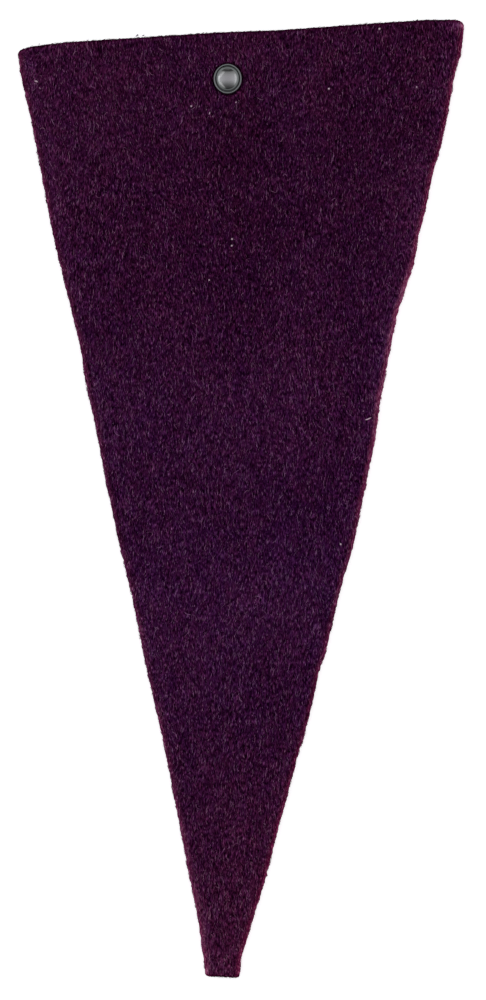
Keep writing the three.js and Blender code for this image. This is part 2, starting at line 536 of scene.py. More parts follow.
# The wool's screen colours by tone: violet, plum and the red at the cuts, with their painted
# light and shade
COOL_WOOL = [
    (0.0, (13, 0, 13)),
    (0.2, (45, 6, 49)),
    (0.4, (75, 23, 80)),
    (0.65, (116, 58, 123)),
    (1.0, (215, 156, 214)),
]
WARM_WOOL = [
    (0.0, (15, 0, 9)),
    (0.2, (56, 10, 42)),
    (0.4, (97, 33, 75)),
    (0.65, (143, 63, 116)),
    (1.0, (228, 160, 200)),
]
CUT_WOOL = [
    (0.0, (15, 0, 8)),
    (0.2, (58, 6, 35)),
    (0.4, (101, 18, 61)),
    (0.65, (148, 38, 92)),
    (1.0, (228, 132, 172)),
]


def wool_colour_group():
    """Dyed wool's colour, from its tone and its warmth."""
    outputs = {"Colour": "NodeSocketColor"}
    group, start, end = new_group("wool_colour", ["Tone", "Warmth"], outputs)
    colour = ramp(group, start.outputs["Tone"], COOL_WOOL)
    for least, stops in ((0.0, WARM_WOOL), (1.0, CUT_WOOL)):
        past = combine(group, "SUBTRACT", start.outputs["Warmth"], least)
        factor = add(group, "ShaderNodeClamp", {"Value": past}).outputs[0]
        redder = ramp(group, start.outputs["Tone"], stops)
        colour = mix_colours(group, factor, colour, redder)
    group.links.new(colour, end.inputs["Colour"])
    return group


def felt_grain_group():
    """Short streaks along the panel, as the brushed nap leaves them."""
    outputs = {"Height": "NodeSocketFloat", "Tone": "NodeSocketFloat"}
    group, start, end = new_group("felt_grain", ["Stretch"], outputs)
    place = add(group, "ShaderNodeTexCoord").outputs["Object"]
    wander = noise(group, place, 90.0, 1.0, "Color")
    values = {0: wander, 1: (0.0022, 0.0022, 0.0), 2: place}
    bend = add(group, "ShaderNodeVectorMath", values, operation="MULTIPLY_ADD")
    parts = add(group, "ShaderNodeSeparateXYZ", {"Vector": bend.outputs[0]})
    up = combine(group, "DIVIDE", parts.outputs["Y"], start.outputs["Stretch"])
    values = {"X": parts.outputs["X"], "Y": up, "Z": parts.outputs["Z"]}
    streaks_at = add(group, "ShaderNodeCombineXYZ", values)
    streaks = noise(group, streaks_at.outputs[0], 3400.0, 1.0)
    tufts = noise(group, place, 900.0, 2.0)
    coarse = combine(group, "MULTIPLY", tufts, 0.25)
    height = combine(group, "ADD", combine(group, "MULTIPLY", streaks, 0.75), coarse)
    group.links.new(height, end.inputs["Height"])
    group.links.new(combine(group, "SUBTRACT", height, 0.5), end.inputs["Tone"])
    return group


def new_material(name, values):
    """A material with one shader, and those values set on it."""
    material = bpy.data.materials.new(name)
    material.use_nodes = True
    tree = material.node_tree
    tree.nodes.clear()
    shader = add(tree, "ShaderNodeBsdfPrincipled", values)
    output = add(tree, "ShaderNodeOutputMaterial")
    tree.links.new(shader.outputs[0], output.inputs["Surface"])
    return material, tree, shader


def attribute(tree, name):
    return add(tree, "ShaderNodeAttribute", attribute_name=name).outputs["Fac"]


def wool_colour(tree, tone, warmth):
    values = {"Tone": tone, "Warmth": warmth}
    return add(tree, "ShaderNodeGroup", values, node_tree=WOOL_COLOUR).outputs["Colour"]


def wool_material(name, roughness, sheen, sheen_roughness):
    values = {
        "Roughness": roughness,
        "Specular IOR Level": 0.0,
        "Sheen Weight": sheen,
        "Sheen Roughness": sheen_roughness,
        "Sheen Tint": linear(180, 70, 165),
    }
    return new_material(name, values)


def felt_material():
    """Pressed wool: dark and uneven, with streaks along the panel."""
    material, tree, shader = wool_material("purple_felt", 0.92, 0.03, 0.45)
    grain = add(tree, "ShaderNodeGroup", {"Stretch": 6.0}, node_tree=FELT_GRAIN)
    shift = combine(tree, "MULTIPLY", grain.outputs["Tone"], 2.2)
    tone = combine(tree, "ADD", attribute(tree, "tone"), shift)
    colour = wool_colour(tree, tone, attribute(tree, "warmth"))
    tree.links.new(colour, shader.inputs["Base Color"])
    add_bump(tree, shader, grain.outputs["Height"], 0.8, 0.0004)
    return material


def nap_material():
    """Loose wool fibres, each in its own shade."""
    material, tree, shader = wool_material("wool_nap", 0.6, 0.02, 0.4)
    colour = wool_colour(tree, attribute(tree, "tone"), attribute(tree, "warmth"))
    tree.links.new(colour, shader.inputs["Base Color"])
    return material


# Lint by its tone: grey, dyed, half dyed and pale
LINT_SHADES = [
    (0.0, (150, 142, 156)),
    (0.4, (150, 66, 108)),
    (0.7, (186, 138, 170)),
    (1.0, (255, 222, 240)),
]


def lint_material():
    """Undyed fibre, cream where it is thick."""
    values = {"Roughness": 0.6, "Specular IOR Level": 0.2}
    material, tree, shader = new_material("pale_lint", values)
    colour = ramp(tree, attribute(tree, "tone"), LINT_SHADES)
    tree.links.new(colour, shader.inputs["Base Color"])
    return material


# The cap's colour by the share of its radius, towards the sides and towards the ends: painted
# reflections of the lights and the room, with painted shade in the groove
CAP_SIDES = [
    (0.0, (169, 167, 169)),
    (0.62, (168, 169, 169)),
    (0.665, (138, 142, 140)),
    (0.76, (124, 129, 127)),
    (0.8, (50, 53, 52)),
    (0.855, (50, 53, 52)),
    (0.89, (112, 115, 115)),
    (1.0, (120, 123, 123)),
]
CAP_ENDS = [
    (0.0, (169, 167, 169)),
    (0.62, (168, 169, 169)),
    (0.665, (140, 144, 142)),
    (0.78, (130, 135, 133)),
    (0.81, (88, 92, 91)),
    (0.84, (88, 92, 91)),
    (0.865, (146, 149, 149)),
    (1.0, (146, 149, 149)),
]

# The rings look a little higher up than the cap's middle
RINGS_UP = STUD_UP + 0.18


def stud_material():
    """Satin grey plate, with painted reflections on its rings and painted shade in its groove."""
    material, tree, shader = new_material("satin_nickel", {"Metallic": 1.0})
    place = add(tree, "ShaderNodeTexCoord").outputs["Object"]
    parts = add(tree, "ShaderNodeSeparateXYZ", {"Vector": place})
    squares = []
    for axis, middle, oval in (("X", STUD_ACROSS, OVAL[0]), ("Y", RINGS_UP, OVAL[1])):
        shift = combine(tree, "SUBTRACT", parts.outputs[axis], middle * MM)
        shift = combine(tree, "DIVIDE", shift, oval)
        squares.append(combine(tree, "MULTIPLY", shift, shift))
    total = combine(tree, "ADD", *squares)
    sideways = combine(tree, "DIVIDE", squares[0], total)
    away = combine(tree, "SQRT", total, 0.0)
    share = combine(tree, "DIVIDE", away, CAP_RADIUS * MM)
    ends = ramp(tree, share, CAP_ENDS)
    sides = ramp(tree, share, CAP_SIDES)
    # Painted reflections and groove shade, different towards the sides and towards the ends
    painted_reflections = mix_colours(tree, sideways, ends, sides)
    above_felt = parts.outputs["Z"]
    on_cap = map_range(tree, above_felt, (CAP_BASE - 0.2) * MM, CAP_BASE * MM)
    plate = mix_colours(tree, on_cap, linear(168, 170, 170), painted_reflections)
    tree.links.new(plate, shader.inputs["Base Color"])
    rough = map_range(tree, noise(tree, place, 900.0, 4.0), 0.3, 0.7, 0.11, 0.18)
    tree.links.new(rough, shader.inputs["Roughness"])
    add_bump(tree, shader, noise(tree, place, 2600.0, 3.0), 0.05, 0.0001)
    return material


# The sheet's points: how far apart they stand, and closer together near the stud
GRID_LENGTH = 398.0
STEP_ACROSS = 3.4
STEP_ALONG = 1.05
FINE_STEP = 0.45
FINE_REACH = 10.0

# How far down each wall its two rings of points stand
WALL_SHARES = (0.36, 0.7)

# The panel's length in the bake layout, where this many millimetres are 1
BAKE_SPAN = 412.0


def felt_grid():
    """Shares of the width and of the length where the sheet has its points."""
    middle_left = left_at(np.array([STUD_UP]))[0]
    middle_width = right_at(np.array([STUD_UP]))[0] - middle_left
    stud_share = (STUD_ACROSS - middle_left) / middle_width
    stud_along = (table_at(WIDE_END, stud_share) - STUD_UP) / GRID_LENGTH

    def shares(total, even, middle, margin):
        fine = FINE_REACH / total
        places = list(np.arange(0.0, 1.0, even / total))
        places = [place for place in places if abs(place - middle) > fine]
        places += list(np.arange(middle - fine, middle + fine, FINE_STEP / total))
        return [place for place in places if margin < place < 1.0 - margin]

    across = shares(middle_width, STEP_ACROSS, stud_share, 0.012)
    along = shares(GRID_LENGTH, STEP_ALONG, stud_along, 0.005)
    along += [inset / GRID_LENGTH for inset in EDGE_INSETS]
    along += [1.0 - inset / GRID_LENGTH for inset in EDGE_INSETS]
    along = {round(place, 6) for place in along}
    return np.array(sorted(across)), np.array(sorted(along))


def sheet_quads():
    """The sheet's points seen from above, and the quads around the shank's hole."""
    inner_shares, along_shares = felt_grid()
    rows = []
    for along in along_shares:
        left, _ = panel_point(np.array([0.0]), along)
        right, _ = panel_point(np.array([1.0]), along)
        edges = np.array(EDGE_INSETS) / SIDE_SLOPE / float(right[0] - left[0])
        first = edges[-1]
        inner = first + (1.0 - 2.0 * first) * inner_shares
        share = np.concatenate([edges, inner, 1.0 - edges[::-1]])
        rows.append(np.stack(panel_point(share, along), axis=1))
    grid = np.array(rows)
    flat = grid.reshape(-1, 2)
    number = np.arange(len(flat)).reshape(grid.shape[:2])
    corners = [number[:-1, :-1], number[1:, :-1], number[1:, 1:], number[:-1, 1:]]
    quads = np.stack(corners, axis=-1).reshape(-1, 4)
    centres = flat[quads].mean(axis=1)
    from_shank = away_from_shank(centres[:, 0], centres[:, 1])
    return flat, quads[from_shank > HOLE_RADIUS]


def edges_of(quads):
    """The open edges of the quads: the cut outline and the shank's hole."""
    starts = quads.ravel()
    ends = np.roll(quads, -1, axis=1).ravel()
    there = set(zip(starts.tolist(), ends.tolist()))
    return [(a, b) for a, b in there if (b, a) not in there]


def round_hole(flat, rim):
    """Moves the rim's points at the shank into a circle, and says which they are."""
    out_from = flat[rim] - [STUD_ACROSS, STUD_UP]
    in_hole = np.hypot(out_from[:, 0], out_from[:, 1]) < 2.0 * HOLE_RADIUS
    ring = out_from[in_hole]
    ring *= HOLE_RADIUS / np.hypot(ring[:, 0], ring[:, 1])[:, None]
    flat[rim[in_hole]] = ring + [STUD_ACROSS, STUD_UP]
    return in_hole


def outward_at(places):
    """The way out of the panel, as a direction from its middle line."""
    middle_line = np.clip(places[:, 1], -190, 180)
    outward = places - np.column_stack([0.0 * middle_line, middle_line])
    return outward / np.maximum(np.hypot(outward[:, 0], outward[:, 1]), 0.001)[:, None]


def wall_rings(face, back, outward, in_hole):
    """Rings of points part way down the walls, pushed in and out a little."""
    rings = []
    for ring, share in enumerate(WALL_SHARES):
        points = face + (back - face) * share
        push = 0.07 * soft_noise(points[:, 0], points[:, 1], 2.0, 2.0, 71 + ring)
        push += 0.08
        push[in_hole] = 0.0
        points[:, :2] += outward * push[:, None]
        rings.append(points)
    return rings


def felt_sheet(material):
    """The panel: a face and a back on one grid, joined by walls at each cut."""
    flat, quads = sheet_quads()
    open_edges = edges_of(quads)
    rim = np.array(sorted({a for a, _ in open_edges}))
    in_hole = round_hole(flat, rim)
    inset = inset_at(flat[:, 0], flat[:, 1])
    inset[rim[~in_hole]] = 0.0
    face = np.column_stack([flat, face_height(flat[:, 0], flat[:, 1], inset)])
    back = np.column_stack([flat, back_height(flat[:, 0], flat[:, 1], inset)])
    outward = outward_at(flat[rim])
    walls = wall_rings(face[rim], back[rim], outward, in_hole)
    points = np.concatenate([face, *walls, back])

    # Each of the rim's points has a column of them, from the face to the back
    face_count = len(flat)
    back_start = face_count + len(walls) * len(rim)
    columns = {}
    for place, point in enumerate(rim.tolist()):
        rings = [face_count + ring * len(rim) + place for ring in range(len(walls))]
        columns[point] = [point, *rings, back_start + point]
    faces = [tuple(quad) for quad in quads.tolist()]
    for a, b in open_edges:
        for step in range(len(walls) + 1):
            above = (columns[b][step], columns[a][step])
            below = (columns[a][step + 1], columns[b][step + 1])
            faces.append(above + below)
    front_faces = len(faces)
    faces += [tuple(back_start + p for p in quad[::-1]) for quad in quads.tolist()]

    # The bake layout: the face on the left with the walls folded out, and the back
    spread = outward * (face[rim, 2] - back[rim, 2])[:, None]
    spread[in_hole] = 0.0
    wall_layout = [flat[rim] + spread * share for share in WALL_SHARES]
    back_layout = flat.copy()
    back_layout[rim] += spread
    layout = np.concatenate([flat, *wall_layout, back_layout]) / BAKE_SPAN
    places = layout[np.array(faces)] + [0.25, 0.5]
    places[front_faces:, :, 0] += 0.5

    sheet = mesh_piece("felt_sheet", points, faces, places, material)
    sheet.data.shade_smooth()
    across = points[:, 0]
    up = points[:, 1]
    tone = 0.3 + tone_at(across, up)
    # The walls and the back take less of the cuts' painted light
    side, _ = insets_at(across[face_count:], up[face_count:])
    tone[face_count:] -= 0.45 * cut_painted_light(across[face_count:], up[face_count:], side)
    paint(sheet, "tone", np.clip(tone, 0.0, 1.0))
    paint(sheet, "warmth", np.clip(warmth_at(across, up), 0.0, 2.0))
    return sheet


# The corners of a fibre's cross-section, in degrees
FIBRE_CORNERS = (90.0, 210.0, 330.0)

# The free edge around the fibres' bake patches, and how far one shade's lie apart
PATCH_MARGIN = 0.02
PATCH_SCATTER = 0.0015


def fibre_faces(rings):
    """One fibre's triangles: a point at each end, and a tube between them."""
    sides = len(FIBRE_CORNERS)
    tip = 1 + sides * rings
    faces = []
    for side in range(sides):
        after = (side + 1) % sides
        faces.append((0, 1 + side, 1 + after))
        for ring in range(rings - 1):
            a = 1 + sides * ring + side
            b = 1 + sides * ring + after
            faces.append((a, a + sides, b + sides))
            faces.append((a, b + sides, b))
        faces.append((tip, tip - sides + after, tip - sides + side))
    return np.array(faces)


def fibre_piece(name, paths, kept, half_width, tone, warmth, material, seed):
    """Closed fibres on the kept ones of the paths, which are rows of points."""
    paths = paths[kept]
    tone = tone[kept]
    warmth = warmth[kept]
    count, stations, _ = paths.shape
    along = paths[:, 2:] - paths[:, :-2]
    along /= np.linalg.norm(along, axis=2)[:, :, None]
    side = np.cross(along, [0.0, 0.0, 1.0])
    side /= np.maximum(np.linalg.norm(side, axis=2), 1e-6)[:, :, None]
    over = np.cross(side, along)
    taper = np.sin(np.pi * np.arange(1, stations - 1) / (stations - 1)) ** 0.5
    reach = half_width[kept][:, None, None] * taper[None, :, None]
    corners = []
    for turn in FIBRE_CORNERS:
        angle = math.radians(turn)
        offset = math.cos(angle) * side + math.sin(angle) * over
        corners.append(paths[:, 1:-1] + reach * offset)
    tube = np.stack(corners, axis=2).reshape(count, -1, 3)
    points = np.concatenate([paths[:, :1], tube, paths[:, -1:]], axis=1)
    per_fibre = points.shape[1]
    faces = fibre_faces(stations - 2)[None] + per_fibre * np.arange(count)[:, None, None]
    faces = faces.reshape(-1, 3)

    # Each fibre bakes in a small patch, placed by its own shade
    chance = np.random.default_rng(seed)
    span = 1.0 - 2.0 * PATCH_MARGIN
    patch = PATCH_MARGIN + span * np.stack([tone, warmth / 2.0], axis=1)
    places = np.repeat(patch, per_fibre, axis=0)
    places += chance.uniform(-PATCH_SCATTER, PATCH_SCATTER, places.shape)
    points = points.reshape(-1, 3)
    piece = mesh_piece(name, points, faces.tolist(), places[faces.ravel()], material)
    piece.data.shade_smooth()
    paint(piece, "tone", np.repeat(tone, per_fibre))
    paint(piece, "warmth", np.repeat(warmth, per_fibre))
    return piece


def uneven(middle, spread, chance, count):
    """Widths or lengths around a middle one, some much larger."""
    return middle * np.exp(spread * chance.standard_normal(count))


# The nap's fibres: how many on the face in each layer, the points along one, and
# the lowest that one lies on the back
FACE_FIBRES = 33000
FIBRE_STATIONS = 3
LOWEST_FIBRE = 0.13

# The part of the cut fuzz that stands on the wall and not on the face beside it
WALL_PART = 0.35
WIDE_END_WIDTH = 190.0


def clear_of_cuts(across, up, chance):
    """The nap thins out over the last millimetre or so beside the long cuts."""
    side, _ = insets_at(across, up)
    return side > chance.uniform(0.3, 1.7, len(across))


# Turns in the nap's direction, as degrees, cell across, cell up and seed
NAP_TURNS = [
    (8.0, 30.0, 40.0, 91),
    (12.0, 3.5, 5.0, 92),
]


def nap_direction(across, up, chance):
    """The angle that the nap lies at, in radians from +X."""
    angle = add_waves(90.0, across, up, NAP_TURNS)
    angle += 9.0 * chance.standard_normal(len(across))
    angle += 180.0 * (chance.random(len(across)) < 0.5)
    return np.radians(angle)


def places_on_panel(count, seed, margin):
    """Seeded places clear of the cuts and the stud, the nap's angle and a generator."""
    chance = np.random.default_rng(seed + 1)
    across = chance.uniform(-97.0, 96.0, 3 * count)
    up = chance.uniform(-202.0, 202.0, 3 * count)
    side, end = insets_at(across, up)
    good = (side > margin) & (end > margin)
    good &= away_from_stud(across, up) > CAP_RADIUS + 0.35
    across = across[good][:count]
    up = up[good][:count]
    chance = np.random.default_rng(seed)
    return across, up, nap_direction(across, up, chance), chance


def nap_shades(across, up, chance, mean, spread):
    """The tone and warmth of each fibre."""
    draw = chance.standard_normal(len(across))
    tone = mean + tone_at(across, up) + 0.34 * streak_at(across, up) + spread * draw
    tone += 0.09 * np.clip(draw - 1.1, 0.0, None) ** 2
    warmth = warmth_at(across, up) + 0.2 * chance.standard_normal(len(across))
    return np.clip(tone, 0.0, 1.0), np.clip(warmth, 0.0, 2.0)


def laid_paths(across, up, angle, length, bend, lifts, height_at):
    """Fibres that lie on the felt, bent sideways by a share of their length."""
    share = np.linspace(0.0, 1.0, lifts.shape[1])
    run = length[:, None] * (share - 0.5)[None, :]
    sideways = (bend * length)[:, None] * (4.0 * share * (1.0 - share))[None, :]
    x = across[:, None] + run * np.cos(angle)[:, None] - sideways * np.sin(angle)[:, None]
    y = up[:, None] + run * np.sin(angle)[:, None] + sideways * np.cos(angle)[:, None]
    z = height_at(x, y, inset_at(x, y)) + lifts
    return np.stack([x, y, z], axis=2), clear_paths(x, y, 0.05, 0.12)


def wandering_paths(across, up, heading, length):
    """Across and up along fibres that turn as they go."""
    step = (length / heading.shape[1])[:, None]
    start = np.zeros((len(across), 1))
    x = np.cumsum(step * np.cos(heading), axis=1)
    y = np.cumsum(step * np.sin(heading), axis=1)
    x = across[:, None] + np.concatenate([start, x], axis=1)
    y = up[:, None] + np.concatenate([start, y], axis=1)
    return x, y


def clear_paths(x, y, margin, stud_margin):
    """Which fibres stay inside the outline and off the cap."""
    side, end = insets_at(x, y)
    kept = (side.min(axis=1) > margin) & (end.min(axis=1) > margin)
    return kept & (away_from_stud(x, y).min(axis=1) > CAP_RADIUS + stud_margin)


def face_nap(name, mean, spread, width, material, seed):
    """The brushed nap on the face."""
    across, up, angle, chance = places_on_panel(FACE_FIBRES, seed, 0.2)
    count = len(across)
    length = np.clip(uneven(1.6, 0.5, chance, count), 0.6, 5.5)
    bend = 0.09 * chance.standard_normal(count)
    rise = chance.uniform(0.0, 0.16, count)
    share = np.linspace(0.0, 1.0, FIBRE_STATIONS)
    arch = 4.0 * share * (1.0 - share)
    lifts = rise[:, None] + 0.12 * arch[None, :] - 0.05
    lifts = lifts + chance.uniform(-0.05, 0.14, (count, 1)) * share[None, :]
    paths, kept = laid_paths(across, up, angle, length, bend, lifts, face_height)
    kept &= clear_of_cuts(across, up, chance)
    tone, warmth = nap_shades(across, up, chance, mean, spread)
    # Painted light: fibres that stand higher are drawn lighter
    tone = np.clip(tone + 0.5 * (rise - 0.08), 0.0, 1.0)
    half_width = uneven(width, 0.25, chance, count)
    return fibre_piece(name, paths, kept, half_width, tone, warmth, material, seed + 2)


def back_nap(count, material, seed):
    """A flatter nap on the back, pressed by what the panel lies on."""
    across, up, angle, chance = places_on_panel(count, seed, 0.6)
    count = len(across)
    length = np.clip(uneven(3.6, 0.35, chance, count), 1.6, 8.0)
    bend = 0.08 * chance.standard_normal(count)
    lifts = np.full((count, FIBRE_STATIONS), -0.02)
    paths, kept = laid_paths(across, up, angle, length, bend, lifts, back_height)
    paths[:, :, 2] = np.maximum(paths[:, :, 2], LOWEST_FIBRE)
    tone, warmth = nap_shades(across, up, chance, 0.2, 0.1)
    half_width = uneven(0.1, 0.2, chance, count)
    return fibre_piece("back_nap", paths, kept, half_width, tone, warmth, material, seed + 2)


def loose_hairs(count, material, seed):
    """Longer, lighter hairs that curl over the nap."""
    across, up, angle, chance = places_on_panel(count, seed, 1.0)
    count = len(across)
    stations = 6
    angle += np.radians(20.0) * chance.standard_normal(count)
    length = chance.uniform(1.0, 4.0, count)
    turn = np.radians(75.0) * chance.standard_normal(count)
    share = np.linspace(0.0, 1.0, stations - 1)[None, :]
    heading = angle[:, None] + turn[:, None] * (share**1.5)
    heading += 0.25 * np.sin(7.0 * share + chance.uniform(0, 6.3, (count, 1)))
    x, y = wandering_paths(across, up, heading, length)
    wave = np.sin(np.linspace(0.0, 3.1, stations))[None, :]
    rise = chance.uniform(0.1, 0.5, (count, 1))
    z = face_height(x, y, inset_at(x, y)) + 0.08 + rise * wave
    paths = np.stack([x, y, z], axis=2)
    kept = clear_paths(x, y, 0.1, 0.2)
    tone, warmth = nap_shades(across, up, chance, 0.55, 0.12)
    half_width = uneven(0.07, 0.2, chance, count)
    return fibre_piece("loose_hairs", paths, kept, half_width, tone, warmth, material, seed + 2)


def cut_edge_fuzz(count, material, seed):
    """Fibres that the shears left standing along the two long cuts."""
    chance = np.random.default_rng(seed)
    up = chance.uniform(-199.0, 197.0, count)
    on_left = chance.random(count) < 0.5
    outward = np.where(on_left, -1.0, 1.0)
    depth = chance.uniform(0.0, 1.0, count)
    inset = np.where(depth < WALL_PART, 0.0, (depth - WALL_PART) * 3.0)
    length = chance.uniform(0.6, 1.7, count)
    lean = np.radians(9.0) * chance.standard_normal(count)
    heading = np.where(chance.random(count) < 0.5, 1.0, -1.0)
    share = np.linspace(0.0, 1.0, FIBRE_STATIONS)[None, :]
    y = up[:, None] + (heading * length)[:, None] * share
    base = np.where(on_left[:, None], left_at(y), right_at(y))
    shift = (length * np.sin(lean))[:, None] * share
    clump = soft_noise(outward * 40.0, up, 1.0, 1.1, 96)
    clump = 0.5 * np.clip(clump - 0.3, 0.0, 1.0) * (inset < 0.01)
    x = base + outward[:, None] * (shift - inset[:, None] + clump[:, None] + 0.02)
    on_wall = chance.uniform(0.3, 1.9, count)[:, None]
    on_face = face_height(x, y, inset[:, None] + 0.0 * y) + 0.04
    z = np.where(inset[:, None] > 0.01, on_face, on_wall)
    z = z + chance.uniform(-0.1, 0.2, (count, FIBRE_STATIONS)) * share
    side, end = insets_at(x, y)
    kept = (side.min(axis=1) > -0.6) & (end.min(axis=1) > 0.2) & (z.min(axis=1) > 0.12)
    paths = np.stack([x, y, z], axis=2)
    draw = chance.standard_normal(count)
    # The fuzz takes the long cuts' painted light band, and its redness
    glow = np.where(on_left, table_at(LEFT_GLOW, up), table_at(RIGHT_GLOW, up))
    tone = 0.3 + glow + 0.12 * draw + 0.1 * soft_noise(x[:, 0], up, 5.0, 6.0, 95)
    warmth = np.where(on_left, 1.25, 1.8) + 0.2 * chance.standard_normal(count)
    tone = np.clip(tone, 0.05, 1.0)
    warmth = np.clip(warmth, 0.8, 2.0)
    half_width = uneven(0.085, 0.25, chance, count)
    return fibre_piece("cut_edge_fuzz", paths, kept, half_width, tone, warmth, material, seed + 1)


def end_cut_fuzz(count, material, seed):
    """Short dark fibres along the cuts of the wide end and the tip."""
    chance = np.random.default_rng(seed)
    at_tip = chance.random(count) < 0.1
    share = chance.uniform(0.01, 0.985, count)
    across, up = panel_point(share, at_tip.astype(float))
    outward = np.where(at_tip, -1.0, 1.0)
    length = chance.uniform(0.5, 1.5, count)
    lean = np.radians(14.0) * chance.standard_normal(count)
    clump = soft_noise(across, outward * 40.0, 1.3, 1.0, 97)
    clump = 0.3 * np.clip(clump - 0.3, 0.0, 1.0)
    step = np.linspace(0.0, 1.0, FIBRE_STATIONS)[None, :]
    run = length[:, None] * step
    x = across[:, None] + run
    top = table_at(WIDE_END, np.minimum(share[:, None] + run / WIDE_END_WIDTH, 0.995))
    end = np.where(at_tip[:, None], table_at(TIP_END, share)[:, None], top)
    rise = clump[:, None] + (length * np.sin(lean))[:, None] * step - 0.05
    y = end + outward[:, None] * rise
    low = chance.uniform(0.4, 2.0, count)[:, None]
    z = low + chance.uniform(-0.1, 0.2, (count, FIBRE_STATIONS)) * step
    side, _ = insets_at(x, y)
    kept = side.min(axis=1) > 0.8
    paths = np.stack([x, y, z], axis=2)
    # Their dark tone is painted shade, like the ends' painted shade band
    tone = 0.2 + corner_glow(across, up) + 0.08 * chance.standard_normal(count)
    tone = np.clip(tone, 0.03, 1.0)
    warmth = np.clip(1.4 + 0.2 * chance.standard_normal(count), 0.5, 2.0)
    half_width = uneven(0.08, 0.25, chance, count)
    return fibre_piece("end_cut_fuzz", paths, kept, half_width, tone, warmth, material, seed + 1)


# Pale lint on the face, as across, up, angle, length, half width and tone
LINT = [
    (-85.2, 174.8, 160.0, 1.7, 0.4, 1.0),
    (-84.2, 171.9, 120.0, 1.0, 0.18, 0.85),
    (52.0, 33.0, 22.0, 3.0, 0.36, 1.0),
    (-21.3, 164.5, 40.0, 1.0, 0.52, 1.0),
    (-19.9, 166.4, 100.0, 0.8, 0.14, 0.4),
    (-17.5, 164.2, 80.0, 0.9, 0.2, 0.75),
    (-14.8, 163.0, 60.0, 0.9, 0.16, 0.75),
    (-13.4, 161.2, 75.0, 1.3, 0.27, 0.95),
    (-11.5, 160.0, 120.0, 1.0, 0.16, 0.7),
    (-2.2, 166.0, 70.0, 0.9, 0.28, 0.95),
    (-0.8, 166.7, 110.0, 0.8, 0.14, 0.7),
    (57.8, 196.9, 60.0, 1.0, 0.6, 1.0),
    (73.8, 172.4, 90.0, 0.8, 0.38, 1.0),
    (36.5, 171.8, 40.0, 1.0, 0.56, 1.0),
    (51.2, 36.5, 50.0, 0.6, 0.24, 0.8),
    (43.2, 38.9, 50.0, 0.6, 0.18, 0.7),
    (49.7, 29.4, 80.0, 0.7, 0.18, 0.75),
    (45.5, 25.2, 100.0, 0.9, 0.17, 0.75),
    (41.9, -19.7, 100.0, 1.0, 0.5, 1.0),
    (-3.5, 108.6, 105.0, 0.9, 0.5, 1.0),
    (-4.2, 105.8, 40.0, 1.0, 0.48, 1.0),
    (-13.4, 91.4, 90.0, 0.8, 0.42, 1.0),
    (-44.3, 194.1, 35.0, 1.3, 0.3, 0.0),
    (-42.9, 194.7, 150.0, 1.1, 0.26, 0.0),
    (-41.6, 194.4, 20.0, 1.3, 0.28, 0.0),
    (-84.9, 190.6, 80.0, 0.9, 0.2, 0.05),
]


def lint_piece(material, seed):
    """Short pale hairs and specks caught on the face."""
    chance = np.random.default_rng(seed)
    across, up, angle, length, half_width, tone = np.array(LINT).T
    count = len(across)
    stations = 7
    turn = np.radians(35.0) * chance.standard_normal(count)
    share = np.linspace(0.0, 1.0, stations - 1)
    heading = np.radians(angle)[:, None] + turn[:, None] * (share - 0.5)[None, :]
    x, y = wandering_paths(across, up, heading, length)
    z = face_height(x, y, inset_at(x, y)) + 0.3
    paths = np.stack([x, y, z], axis=2)
    kept = np.full(count, True)
    warmth = np.full(count, 0.6)
    return fibre_piece("lint", paths, kept, half_width, tone, warmth, material, seed + 1)


def turned_piece(name, rings, segments, material, oval):
    """A turned piece: a circle, extruded ring by ring along its profile."""
    centre = Vector((STUD_ACROSS * MM, STUD_UP * MM, 0.0))
    radius, height = rings[0]
    bpy.ops.object.select_all(action="DESELECT")
    bpy.ops.mesh.primitive_circle_add(
        vertices=segments,
        radius=radius * MM,
        location=centre + Vector((0.0, 0.0, height * MM)),
    )
    piece = bpy.context.active_object
    piece.name = name
    bpy.ops.object.transform_apply(location=True, rotation=True, scale=True)
    bpy.ops.object.mode_set(mode="EDIT")
    bpy.ops.mesh.select_all(action="SELECT")
    for next_radius, next_height in rings[1:]:
        rise = (next_height - height) * MM
        bpy.ops.mesh.extrude_region_move(TRANSFORM_OT_translate={"value": (0.0, 0.0, rise)})
        grow = next_radius / radius
        bpy.ops.transform.resize(
            value=(grow, grow, 1.0),
            center_override=centre + Vector((0.0, 0.0, next_height * MM)),
        )
        radius, height = next_radius, next_height
    bpy.ops.mesh.merge(type="CENTER")
    bpy.ops.mesh.select_all(action="DESELECT")
    bpy.ops.mesh.select_mode(type="EDGE")
    bpy.ops.mesh.select_non_manifold()
    bpy.ops.mesh.edge_face_add()
    bpy.ops.mesh.select_all(action="SELECT")
    bpy.ops.mesh.normals_make_consistent(inside=False)
    bpy.ops.transform.resize(value=oval, center_override=centre)
    bpy.ops.object.mode_set(mode="OBJECT")
    bpy.ops.object.shade_smooth_by_angle(angle=math.radians(35.0))
    piece.data.materials.append(material)
    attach(piece, "root")
    return piece


def arc(centre_radius, centre_height, radius, start, stop, steps):
    """Points on an arc of a profile, with angles in degrees from straight out."""
    points = []
    for step in range(steps + 1):
        angle = math.radians(start + (stop - start) * step / steps)
        out = centre_radius + radius * math.cos(angle)
        points.append((out, centre_height + radius * math.sin(angle)))
    return points


